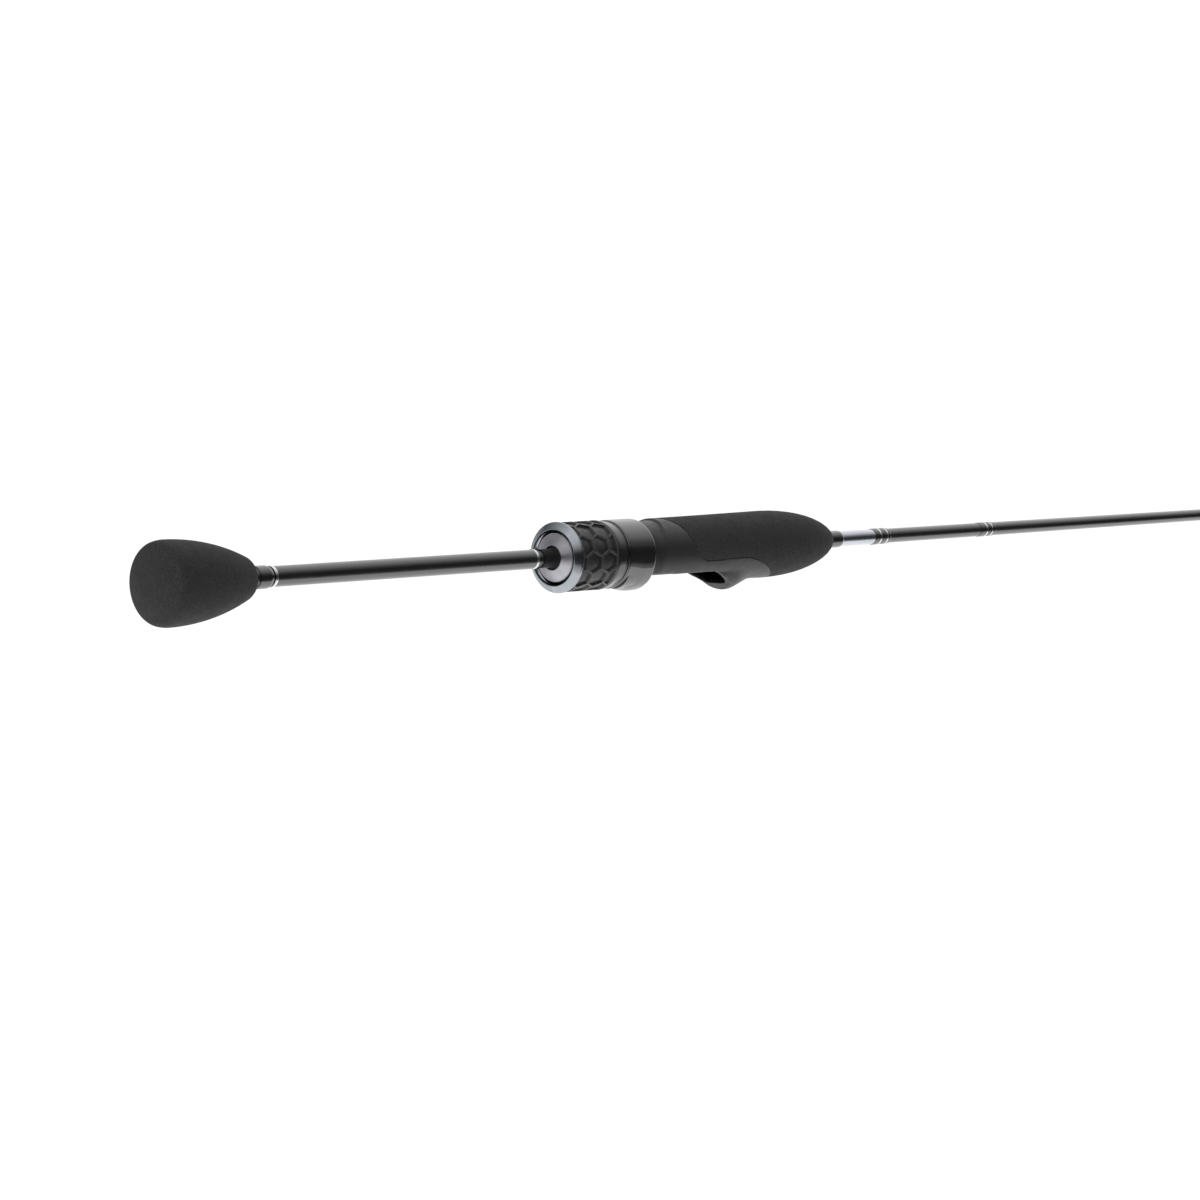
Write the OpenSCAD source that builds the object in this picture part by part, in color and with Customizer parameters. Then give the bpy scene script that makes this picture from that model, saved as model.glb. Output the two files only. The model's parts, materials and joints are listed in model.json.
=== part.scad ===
// Two-piece spinning rod with a split foam grip and a screw-down reel seat.
// X runs along the blank from the centre of the butt face to the tip, and Z is up.
// The reel foot and the line guides are on the -Z side.

/* [Rod] */
// Overall length, butt face to the end of the tip tube
rod_len = 1830; // [1815:5:1860]
// Overlap of the two halves at the ferrule
ferrule_len = 60; // [45:5:70]
// Radius of the blank inside the grips
blank_r = 3.2; // [3.1:0.05:3.3]
// Radius of the blank at the very tip
tip_r = 0.8; // [0.7:0.05:0.9]
// Wall of the blank
blank_wall = 0.6; // [0.5:0.05:0.7]

/* [Butt grip] */
// Length of the foam butt knob
knob_len = 43.6; // [42:0.2:46]
// Largest radius of the foam butt knob
knob_r = 14.5; // [13.5:0.25:15.5]
// Radius of the smooth sleeve along the handle
sleeve_r = 3.56; // [3.5:0.02:3.6]

/* [Reel seat] */
// Where the threaded barrel of the reel seat begins
seat_x = 197.2; // [192:0.2:202]
// Radius of the seat body
seat_r = 12.6; // [12.4:0.1:12.8]
// Depth of the flat saddle that the reel foot lies on
saddle_z = 8.5; // [8.2:0.1:8.6]
// Outside radius of the lock nut
nut_r = 13; // [12.8:0.1:13.4]
// Outside radius of the barrel thread
thread_r = 8.6; // [8.4:0.1:8.7]
// Radial running clearance of the nut and hood on the barrel
run_gap = 0.1; // [0.05:0.05:0.1]

/* [Fore grip] */
// Largest radius of the foam fore grip
grip_r = 13.3; // [13:0.1:13.8]
// Length of the fore grip's rounded nose
grip_nose = 45; // [42:1:48]

/* [Guides] */
// Outside diameter of the first and largest guide ring
guide_d = 25; // [20:1:30]
// Distance from the tip to the nearest guide
guide_step = 90; // [85:1:95]

/* [Hidden] */
GUIDES = 7;
$fn = 96;
big = 60;

// Stations along the handle
knob_socket = 14;
collar_end = 53;
collar_r = 4;
trim_w = 1.2;
trim_r = sleeve_r + 0.14;
seat_trim_end = seat_x - 13.6;
sleeve_end = seat_trim_end - trim_w;
bush_start = seat_x - 10.7;
bush_end = seat_x + 3.8;
bush_r = 3.6;

// Barrel, nut and hood
// Length of each rigid foam arbor between the blank and the barrel
arbor_len = 36.2;
barrel_bore = 6;
barrel_inner_r = 7.6;
shoulder_x = seat_x + 41.7;
barrel_end = seat_x + 132.8;
cone_len = 3.57;
cone_hole_r = 4.4;
cone_rim_r = 9.2;
chamfer = 0.25;
nut_bore = 9.7;
nut_wall_r = 12;
nut_back = seat_x - 2.75;
nut_lip_r = 10.73;
nut_sleeve_x = seat_x - 0.3;
nut_ring_x = seat_x + 19.7;
nut_front = seat_x + 25.7;
nut_thread_x = seat_x + 12.6;
nut_core_end = seat_x + 20.8;
flange_gap = 0.3;
flange_r = 10.8;
flange_w = 1.6;
skirt_r = 10;
hood_x = nut_front + 0.3;
hood_end = seat_x + 41.3;
hood_wall = 1.4;
hood_back_t = 1.8;
foot_pocket_x = hood_x + 5;
hood_r = 12.95;
hood_low_r = 10;
hood_low_y = 2.6;
hood_low_z = -4.3;
key_w = 2.4;
keyway_w = 3;
keyway_z = 7.6;
key_z = 7.9;

// Hexagon pockets of the grip sleeve
hex_rows = 12;
hex_pitch = 8.5;
hex_flat = 7.5;
hex_depth = 0.7;
hex_x = seat_x + 6.7;
hex_turn = -8;

// Seat body and fixed hood
slide_r = 11.9;
nose_x = seat_x + 125.8;
// The fixed hood's mouth, from its start at the saddle to its lowest point
mouth_x = seat_x + 79.8;
mouth_low_x = seat_x + 94.6;
hood_z = -7.4;
fixed_hood_r = 9.4;
bulb_x = seat_x + 95.3;
pocket_r = 9.1;
pocket_z = -5.7;
pocket_floor = 13.7;
pocket_taper_x = seat_x + 94.3;
pocket_round = 12;
liner_t = 0.7;
liner_back = 2;

// Fore grip and the blank ahead of it
grip_back = seat_x + 52.6;
shell_x = seat_x + 72.6;
grip_widest = seat_x + 118.8;
check_r = 3.45;
// Radius of the rounded nose where it meets the winding check
nose_end_r = check_r + 0.8;
grip_end = grip_widest + grip_nose * sqrt(1 - pow(nose_end_r / grip_r, 2));
check_end = grip_end + 8;
// Radius of the blank where it leaves the winding check
check_blank_r = 3;
foil_len = 21.9;
foil_end = check_end + foil_len;
foil_r = 3.1;
band_r = 3.35;
mark_x = seat_x + 267;
mark_r = 3.05;
mark_len = 11;
wrap_len = 10.5;
ring_w = 0.9;
groove = 0.12;
wrap_rings = [foil_end + 3.1, foil_end + 7.5];
mark_rings = [mark_x + 4, mark_x + 7.8];
butt_end = (rod_len + ferrule_len) / 2;
tip_start = butt_end - ferrule_len;
male_r = 2.25;
// Radius of the butt's blank just before the male end of the ferrule
swell_r = 2.3;
female_gap = 0.05;
// Radius of the tip's blank over the socket, and where its taper starts
socket_r = 2.75;
socket_end = butt_end + 2;
socket_taper_x = butt_end + 10;
blank_end = rod_len - 2;
tip_tube_len = 17;
tube_r = 1.6;
// How far behind the loop its side legs meet the tip tube
tube_back = 10.5;
tip_loop_r = 2.7;
tip_loop_x = rod_len + 1.5;
tip_loop_z = -4.6;

function taper(x, x0, r0, x1, r1) = r0 + (r1 - r0) * (x - x0) / (x1 - x0);
// Radius of the seat's and fore grip's common shell behind shell_x
function shell_r_at(x) = taper(x, shoulder_x, seat_r, shell_x, seat_r + 0.2);
// Radius of the blank at any station
function butt_r_at(x) = x < seat_x ? blank_r
    : x < check_end ? taper(x, seat_x, blank_r, check_end, check_blank_r)
    : taper(x, check_end, check_blank_r, tip_start, swell_r);
function tip_r_at(x) = x < socket_taper_x ? socket_r
    : taper(x, socket_taper_x, socket_r, blank_end, tip_r);
function blank_r_at(x) = x < tip_start ? butt_r_at(x) : tip_r_at(x);

// Guide number i counts from the reel towards the tip
guide_shrink = 0.66;
min_guide_d = 6;
// Guides wider than this stand on two feet
two_foot_d = 12;
foot_t = 0.8;
foot_w = 2.2;
// Bed of epoxy between a foot and the blank
foot_bed = 0.03;
function from_tip(k) = guide_step * k + 10 * k * (k - 1);
function guide_x(i) = rod_len - from_tip(GUIDES + 1 - i);
function guide_size(i) = max(min_guide_d, guide_d * pow(guide_shrink, i - 1));
function foot_sides(i) = guide_size(i) > two_foot_d ? [-1, 1] : [1];
function guide_drop(i) = guide_size(i) * 0.62 + blank_r_at(guide_x(i)) + 8 * pow(0.55, i - 1);
function hoop_r(i) = guide_size(i) / 2;
function wire_r(i) = 0.45 + guide_size(i) * 0.014;
function foot_len(i) = 6 + guide_size(i) * 0.24;
function foot_reach(i) = guide_size(i) * 0.42 + 2;

// Points of an arc, angles in degrees
function arc(cx, cy, r, a0, a1, n = 8) =
    [for (k = [0 : n]) let (a = a0 + (a1 - a0) * k / n) [cx + r * cos(a), cy + r * sin(a)]];
// Points of a quadratic curve through p0 and p2, pulled towards p1
function bend(p0, p1, p2, n = 8) =
    [for (k = [0 : n]) let (t = k / n) (1 - t) * (1 - t) * p0 + 2 * t * (1 - t) * p1 + t * t * p2];

// Turn an outline of [x, radius] points about the X axis
module lathe(points) {
    rotate([0, 90, 0]) rotate_extrude() polygon([for (p = points) [p[1], p[0]]]);
}

// A round bar or tube along X
module bar_x(x0, x1, r) {
    translate([x0, 0, 0]) rotate([0, 90, 0]) cylinder(h = x1 - x0, r = r);
}
module tube_x(x0, x1, r_out, r_in) {
    difference() {
        bar_x(x0, x1, r_out);
        bar_x(x0 - 1, x1 + 1, r_in);
    }
}

// A side-view outline of [x, z] points, as thick as the seat
module side_cut(points) {
    rotate([90, 0, 0]) linear_extrude(height = big, center = true) polygon(points);
}

// A straight round bar between two points
module strut(a, b, r) {
    d = b - a;
    len = norm(d);
    translate(a) rotate([0, acos(d[2] / len), atan2(d[1], d[0])]) cylinder(h = len, r = r, $fn = 24);
}

// ---- Butt grip ----

module butt_knob() {
    face_r = 4;
    belly_x = 7.2;
    belly = 86;
    nose = 5;
    nose_x = knob_len - 3.1;
    nose_a = asin((nose_x - belly_x) / belly);
    nose_cx = nose_x - nose * sin(nose_a);
    nose_cr = knob_r - belly + (belly - nose) * cos(nose_a);
    color([0.13, 0.13, 0.13])
        lathe(concat(
            [[0, 0]],
            bend([0, face_r], [0.6, knob_r - 6.8], [2.9, knob_r - 1.9]),
            bend([2.9, knob_r - 1.9], [3.55, knob_r - 0.53], [5.2, knob_r - 0.25], 5),
            bend([5.2, knob_r - 0.25], [6.6, knob_r], [belly_x, knob_r], 4),
            arc(belly_x, knob_r - belly, belly, 90, 90 - nose_a),
            arc(nose_cx, nose_cr, nose, 90 - nose_a, 8),
            [[knob_len, blank_r], [knob_socket, blank_r], [knob_socket, 0]]));
}

module butt_collar() {
    back = knob_len + 0.05;
    groove_x = back + 1.6;
    groove_len = 0.7;
    step = 0.2;
    round_r = 1.9;
    color([0.10, 0.08, 0.07])
        lathe(concat(
            [[back, blank_r], [back, collar_r - step], [groove_x, collar_r - step],
             [groove_x + step, collar_r - 2 * step], [groove_x + groove_len, collar_r - 2 * step],
             [groove_x + groove_len + step, collar_r]],
            arc(collar_end - round_r, collar_r - round_r, round_r, 90, 35, 5),
            [[collar_end, blank_r]]));
}

module butt_trim_ring() {
    color([0.85, 0.86, 0.88])
        tube_x(collar_end, collar_end + trim_w, trim_r, blank_r);
}

module butt_blank() {
    wall = blank_wall;
    color([0.09, 0.09, 0.10])
        lathe([[knob_socket, blank_r], [seat_x, blank_r], [check_end, check_blank_r],
               [tip_start - 2, swell_r], [tip_start - 1, male_r], [butt_end, male_r],
               [butt_end, male_r - wall], [tip_start, male_r - wall],
               [check_end, check_blank_r - wall], [seat_x, blank_r - wall],
               [knob_socket, blank_r - wall]]);
}

module handle_sleeve() {
    color([0.12, 0.12, 0.12])
        tube_x(collar_end + trim_w, sleeve_end, sleeve_r, blank_r);
}

module seat_trim_ring() {
    color([0.85, 0.86, 0.88])
        tube_x(sleeve_end, seat_trim_end, trim_r, blank_r);
}

// ---- Reel seat ----

module tail_bush() {
    color([0.06, 0.06, 0.06])
        tube_x(bush_start, bush_end, bush_r, blank_r);
}

module barrel_end_cone() {
    back = seat_x - cone_len;
    rim_x = seat_x - 1.55;
    color([0.72, 0.71, 0.74])
        lathe([[back + chamfer, cone_hole_r], [back, cone_hole_r + chamfer],
               [rim_x - chamfer, cone_rim_r - chamfer], [rim_x, cone_rim_r],
               [seat_x, cone_rim_r], [seat_x, cone_hole_r]]);
}

module seat_barrel() {
    color([0.16, 0.16, 0.17])
        difference() {
            union() {
                bar_x(seat_x, shoulder_x, thread_r);
                bar_x(seat_x, barrel_end, barrel_inner_r);
            }
            bar_x(seat_x - 1, barrel_end + 1, barrel_bore);
            translate([seat_x - 1, -keyway_w / 2, keyway_z])
                cube([shoulder_x - seat_x + 1, keyway_w, 5]);
        }
}

module arbor(x0) {
    x1 = x0 + arbor_len;
    color([0.80, 0.74, 0.60])
        difference() {
            bar_x(x0, x1, barrel_bore);
            lathe([[x0 - 1, 0], [x0 - 1, butt_r_at(x0 - 1)], [x1 + 1, butt_r_at(x1 + 1)], [x1 + 1, 0]]);
        }
}

// The parting line between the plastic body and the foam, rear to front in side view
function parting() = concat(
    [[grip_back, 20]],
    bend([grip_back + 0.2, 13.2], [seat_x + 59.3, 12.2], [seat_x + 62, 6.5]),
    bend([seat_x + 62.1, 6.2], [seat_x + 66.6, -4.1], [seat_x + 74.3, -4.1]),
    bend([seat_x + 93.8, -3.6], [seat_x + 106, -3.6], [seat_x + 119.3, -12.6]),
    [[seat_x + 122.8, -20]]);

module body_side() {
    side_cut(concat(parting(), [[shoulder_x - 1, -20], [shoulder_x - 1, 20]]));
}

// The slanted edge of the fixed hood's mouth in side view, moved forward by shift
function mouth_edge(shift) =
    bend([mouth_x + shift, -saddle_z], [mouth_x + 7.5 + shift, -10.6], [mouth_low_x + shift, -17.2]);
module mouth_cut(shift) {
    side_cut(concat(mouth_edge(shift), [[mouth_low_x + shift, -30], [shoulder_x, -30],
                                        [shoulder_x, -saddle_z]]));
}

// The fixed hood's pocket, with its wall moved in by inset
module hood_pocket(inset) {
    r = pocket_r - inset;
    intersection() {
        translate([0, 0, pocket_z])
            lathe(concat(
                [[mouth_x - 3, 0], [mouth_x - 3, r]],
                [for (k = [0 : 8]) let (a = 90 - 90 * k / 8)
                    [pocket_taper_x + (pocket_round - inset) * cos(a), r * sin(a)]]));
        translate([mouth_x - 4, -big / 2, inset - pocket_floor])
            cube([big, big, pocket_floor - saddle_z - inset]);
    }
}

module seat_body() {
    color([0.20, 0.20, 0.21])
        difference() {
            union() {
                intersection() {
                    lathe([[shoulder_x, 0], [shoulder_x, seat_r], [shell_x, shell_r_at(shell_x)],
                           [grip_widest, grip_r], [nose_x, grip_r], [nose_x, 0]]);
                    body_side();
                    union() {
                        bar_x(shoulder_x - 1, nose_x, slide_r);
                        side_cut([[shoulder_x + 3, -20], [shoulder_x + 3, 2], [shoulder_x + 10.4, 13],
                                  [shoulder_x + 10.4, 20], [nose_x, 20], [nose_x, -20]]);
                    }
                    union() {
                        translate([shoulder_x - 1, -big / 2, -saddle_z]) cube([big, big, big]);
                        bar_x(mouth_x, nose_x, grip_r);
                    }
                }
                intersection() {
                    translate([0, 0, hood_z])
                        lathe(concat(
                            [[mouth_x, 0], [mouth_x, fixed_hood_r], [bulb_x, fixed_hood_r]],
                            bend([bulb_x + 0.5, fixed_hood_r], [bulb_x + 5, fixed_hood_r - 1],
                                 [bulb_x + 13.2, 5.8]),
                            bend([bulb_x + 14, 5.7], [bulb_x + 16, 4.9], [bulb_x + 21, 4.8], 4),
                            [[bulb_x + 21, 0]]));
                    body_side();
                }
            }
            bar_x(shoulder_x - 1, nose_x + 1, barrel_inner_r);
            hood_pocket(0);
            mouth_cut(0);
        }
}

module fixed_hood_liner() {
    color([0.09, 0.09, 0.09])
        difference() {
            hood_pocket(0);
            hood_pocket(liner_t);
            mouth_cut(liner_back);
        }
}

// Cross-section of the moving hood: round above, fuller below where the foot goes in
module hood_section(inset) {
    circle(r = hood_r - inset);
    for (side = [-1, 1])
        translate([-hood_low_z, side * hood_low_y]) circle(r = hood_low_r - inset);
}
module hood_bar(x0, x1, inset) {
    translate([x0, 0, 0]) rotate([0, 90, 0]) linear_extrude(height = x1 - x0) hood_section(inset);
}

// The reel foot's pocket in the moving hood
module foot_pocket() {
    half_w = 7.5;
    floor_z = 12.9;
    round_r = 3;
    translate([foot_pocket_x, 0, 0]) rotate([0, 90, 0]) linear_extrude(height = big) {
        translate([0, -half_w]) square([floor_z - round_r, 2 * half_w]);
        translate([0, -half_w + round_r]) square([floor_z, 2 * (half_w - round_r)]);
        for (side = [-1, 1])
            translate([floor_z - round_r, side * (half_w - round_r)]) circle(r = round_r);
    }
}

module moving_hood() {
    color([0.07, 0.07, 0.08])
        difference() {
            hood_bar(hood_x, hood_end, 0);
            hood_bar(hood_x + hood_back_t, hood_end + 1, hood_wall);
            bar_x(hood_x - 1, hood_end, skirt_r);
            foot_pocket();
        }
}

module hood_liner() {
    flange_x = nut_core_end + flange_gap;
    color([0.11, 0.11, 0.12])
        union() {
            difference() {
                union() {
                    hood_bar(hood_x + hood_back_t, hood_end - 0.2, hood_wall);
                    bar_x(flange_x, hood_x + 2, skirt_r);
                    bar_x(flange_x, flange_x + flange_w, flange_r);
                }
                bar_x(flange_x - 1, hood_end + 1, thread_r + run_gap);
                foot_pocket();
            }
            translate([hood_x + 3, -key_w / 2, key_z])
                cube([hood_end - hood_x - 4, key_w, thread_r + 1 - key_z]);
        }
}

module nut_core() {
    color([0.14, 0.14, 0.15])
        difference() {
            bar_x(nut_sleeve_x, nut_core_end, nut_wall_r);
            bar_x(nut_sleeve_x - 1, nut_core_end + 1, thread_r + run_gap);
            bar_x(nut_sleeve_x - 1, nut_thread_x, nut_bore);
        }
}

module nut_end_ring() {
    r = nut_r + 0.25;
    color([0.62, 0.66, 0.70])
        lathe([[nut_back, nut_lip_r - 0.3], [nut_back, nut_lip_r], [seat_x - 0.9, r],
               [nut_sleeve_x, r], [nut_sleeve_x, nut_bore], [nut_back + 0.9, nut_bore]]);
}

// One hexagon prism pointing out of the sleeve
module hex_prism(x, angle) {
    rotate([angle, 0, 0]) translate([x, -nut_r + 3, 0]) rotate([90, 0, 0])
        scale([1, 0.93, 1]) rotate([0, 0, 30]) cylinder(h = 8, r = hex_flat / sqrt(3), $fn = 6);
}

module nut_grip_sleeve() {
    color([0.12, 0.12, 0.13])
        difference() {
            tube_x(nut_sleeve_x, nut_ring_x, nut_r, nut_wall_r);
            difference() {
                intersection() {
                    for (row = [0 : hex_rows - 1], k = [-1 : 2])
                        hex_prism(hex_x + hex_pitch * (k + (row % 2) / 2), -hex_turn - row * 360 / hex_rows);
                    bar_x(nut_sleeve_x + 0.7, nut_ring_x - 0.6, big);
                }
                bar_x(nut_sleeve_x - 1, nut_ring_x + 1, nut_r - hex_depth);
            }
        }
}

module nut_front_ring() {
    flange_x = nut_core_end + flange_gap;
    lip_x = flange_x + flange_w + flange_gap;
    r = nut_r + 0.1;
    dip = 0.55;
    color([0.30, 0.31, 0.33])
        lathe([[nut_ring_x, nut_wall_r], [nut_ring_x, r - 0.3], [nut_ring_x + 0.3, r],
               [nut_ring_x + 1.2, r], [nut_ring_x + 2.6, r - dip], [nut_front - 0.3, r - dip],
               [nut_front, r - dip - 0.3], [nut_front, skirt_r + flange_gap],
               [lip_x, skirt_r + flange_gap], [lip_x, flange_r + flange_gap],
               [nut_core_end, flange_r + flange_gap], [nut_core_end, nut_wall_r]]);
}

// ---- Fore grip and the blank ahead of it ----

module fore_grip() {
    nose_tilt = acos(nose_end_r / grip_r);
    // Above 1 makes the nose slimmer than an ellipse
    nose_power = 1.06;
    color([0.13, 0.13, 0.13])
        difference() {
            lathe(concat(
                [[grip_back, 0], [grip_back, shell_r_at(grip_back)], [shell_x, shell_r_at(shell_x)]],
                [for (k = [0 : 10]) let (a = 90 - nose_tilt * k / 10)
                    [grip_widest + grip_nose * cos(a), grip_r * pow(sin(a), nose_power)]],
                [[grip_end, 0]]));
            bar_x(grip_back - 1, barrel_end, barrel_inner_r);
            lathe([[barrel_end - 1, 0], [barrel_end - 1, butt_r_at(barrel_end - 1)],
                   [grip_end + 1, butt_r_at(grip_end + 1)], [grip_end + 1, 0]]);
            body_side();
        }
}

// A sleeve that follows the blank's taper, as an [x, outer radius] outline
module on_blank(points) {
    x0 = points[0][0];
    x1 = points[len(points) - 1][0];
    lathe(concat(points, [[x1, blank_r_at(x1)], [x0, blank_r_at(x0)]]));
}

module winding_check() {
    color([0.06, 0.06, 0.07])
        on_blank(concat(
            [[grip_end, check_r]],
            arc(check_end - 1.2, check_r - 1.2, 1.2, 90, 70, 2),
            [[check_end, foil_r + 0.05]]));
}

module foil_sleeve() {
    color([0.62, 0.65, 0.70])
        on_blank([[check_end, foil_r], [foil_end, foil_r]]);
}

// A band of winding thread with bevelled ends and grooves where its trim rings lie
module band(x0, x1, r, rings) {
    difference() {
        on_blank([[x0, r - 0.15], [x0 + 0.5, r], [x1 - 1.2, r], [x1, blank_r_at(x1) + 0.08]]);
        for (x = rings) tube_x(x, x + ring_w, r + 1, r - groove);
    }
}
module band_trim(rings, r) {
    for (x = rings) tube_x(x, x + ring_w, r + 0.05, r - groove);
}

module check_wrap() {
    color([0.05, 0.05, 0.06])
        band(foil_end, foil_end + wrap_len, band_r, wrap_rings);
}
module check_wrap_trim() {
    color([0.80, 0.81, 0.83])
        band_trim(wrap_rings, band_r);
}
module mark_wrap() {
    color([0.05, 0.05, 0.06])
        band(mark_x, mark_x + mark_len, mark_r, mark_rings);
}
module mark_wrap_trim() {
    color([0.80, 0.81, 0.83])
        band_trim(mark_rings, mark_r);
}

// ---- Tip section ----

module tip_blank() {
    bore_r = male_r + female_gap;
    solid_len = 400;
    color([0.09, 0.09, 0.10])
        lathe([[tip_start, bore_r], [tip_start, socket_r - 0.15], [tip_start + 1, socket_r],
               [socket_taper_x, socket_r], [blank_end, tip_r], [blank_end, 0], [blank_end - solid_len, 0],
               [socket_taper_x, socket_r - blank_wall], [socket_end + 1, bore_r - 0.3],
               [socket_end, bore_r]]);
}

module ferrule_wrap() {
    x0 = tip_start + 2;
    x1 = tip_start + 24;
    r = socket_r + 0.3;
    color([0.05, 0.05, 0.06])
        on_blank([[x0, r - 0.1], [x0 + 0.6, r], [x1 - 2, r], [x1, r - 0.2]]);
}

// A hoop of inner radius r with its legs, cut back from the ring that sits in it
module guide_hoop(r, thick, w) {
    difference() {
        union() {
            bar_x(-w / 2, w / 2, r + thick);
            children();
        }
        bar_x(-big, r, r);
    }
}

// The bent-wire frame of guide i, with its ring hanging under the blank
module guide_frame(i) {
    r = hoop_r(i);
    wire = wire_r(i);
    seat_z = -blank_r_at(guide_x(i)) - foot_t / 2 - foot_bed;
    reach = foot_reach(i);
    foot = foot_len(i);
    side_a = 35;
    join_r = r + wire * 0.6;
    feet = foot_sides(i);
    drop = guide_drop(i);
    color([0.55, 0.56, 0.58])
        translate([guide_x(i), 0, 0]) {
            translate([0, 0, -drop]) guide_hoop(r, wire, 1.5 * wire + 0.6) {
                for (side = [-1, 1])
                    strut([0, side * join_r * cos(side_a), join_r * sin(side_a)],
                          [reach + 1, side * (foot_w / 2 - 0.35), drop + seat_z], wire * 0.8);
                if (len(feet) == 2)
                    strut([0, 0, join_r], [-reach - 1, 0, drop + seat_z], wire * 0.8);
            }
            for (side = feet)
                translate([side > 0 ? reach : -reach - foot, -foot_w / 2, seat_z - foot_t / 2])
                    cube([foot, foot_w, foot_t]);
        }
}

module guide_ring(i) {
    r = hoop_r(i);
    t = 0.5 + r * 0.09;
    w = 1.1 + r * 0.08;
    land = w * 0.3;
    color([0.17, 0.18, 0.20])
        translate([guide_x(i), 0, -guide_drop(i)])
            lathe([[-w, r], [-w, r - t * 0.5], [-w * 0.75, r - t * 0.85], [-land, r - t], [land, r - t],
                   [w * 0.75, r - t * 0.85], [w, r - t * 0.5], [w, r]]);
}

// Thread bound over each foot of guide i
module guide_wrap(i) {
    over = 2.5;
    reach = foot_reach(i);
    x = guide_x(i);
    color([0.05, 0.05, 0.06])
        for (side = foot_sides(i)) {
            x0 = side > 0 ? x + reach + 2 : x - reach - foot_len(i) - over;
            x1 = side > 0 ? x + reach + foot_len(i) + over : x - reach - 2;
            r0 = blank_r_at(x0);
            difference() {
                union() {
                    bar_x(x0, x1, r0 + 0.35);
                    translate([0, 0, -r0 - 0.15]) bar_x(x0, x1, 1.6);
                }
                lathe([[x0 - 1, 0], [x0 - 1, blank_r_at(x0 - 1)], [x1 + 1, blank_r_at(x1 + 1)],
                       [x1 + 1, 0]]);
                translate([x0 - over - 1, -foot_w / 2, -blank_r_at(x) - foot_t - foot_bed])
                    cube([x1 - x0 + (side > 0 ? 1 : 2 * over + 2), foot_w, foot_t]);
            }
        }
}

module tip_tube() {
    x0 = rod_len - tip_tube_len;
    color([0.55, 0.56, 0.58])
        difference() {
            bar_x(x0, rod_len, tube_r);
            lathe([[x0 - 1, 0], [x0 - 1, tip_r_at(x0 - 1)], [blank_end, tip_r], [blank_end, 0]]);
        }
}

module tip_frame() {
    wire = 0.45;
    color([0.55, 0.56, 0.58])
        difference() {
            translate([tip_loop_x, 0, tip_loop_z]) guide_hoop(tip_loop_r, 0.5, 1.4) {
                for (side = [-1, 1])
                    strut([0, side * (tip_loop_r + 0.2), 0],
                          [-tube_back, side * 1.5, -1.2 - tip_loop_z], wire);
                strut([0, 0, tip_loop_r + 0.2], [-2.5, 0, -1.3 - tip_loop_z], wire);
            }
            bar_x(rod_len - tip_tube_len, rod_len, tube_r);
        }
}

module tip_ring() {
    color([0.17, 0.18, 0.20])
        translate([tip_loop_x, 0, tip_loop_z])
            lathe([[-1, tip_loop_r], [-1, 2.4], [-0.6, 2.15], [-0.3, 2.05], [0.3, 2.05], [0.6, 2.15],
                   [1, 2.4], [1, tip_loop_r]]);
}

butt_knob();
butt_collar();
butt_trim_ring();
butt_blank();
handle_sleeve();
seat_trim_ring();
tail_bush();
barrel_end_cone();
seat_barrel();
arbor(bush_end);  // rear_arbor
arbor(barrel_end - 4 - arbor_len);  // front_arbor
seat_body();
fixed_hood_liner();
moving_hood();
hood_liner();
nut_core();
nut_end_ring();
nut_grip_sleeve();
nut_front_ring();
fore_grip();
winding_check();
foil_sleeve();
check_wrap();
check_wrap_trim();
mark_wrap();
mark_wrap_trim();
tip_blank();
ferrule_wrap();
tip_tube();
tip_frame();
tip_ring();
for (i = [1 : GUIDES]) {
    guide_frame(i);
    guide_ring(i);
    guide_wrap(i);
}
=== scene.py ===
"""Looks of the two-piece spinning rod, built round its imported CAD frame. Lengths are in metres."""

import json
import math

import bmesh
import bpy
import numpy as np
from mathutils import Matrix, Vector, geometry, noise

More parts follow.
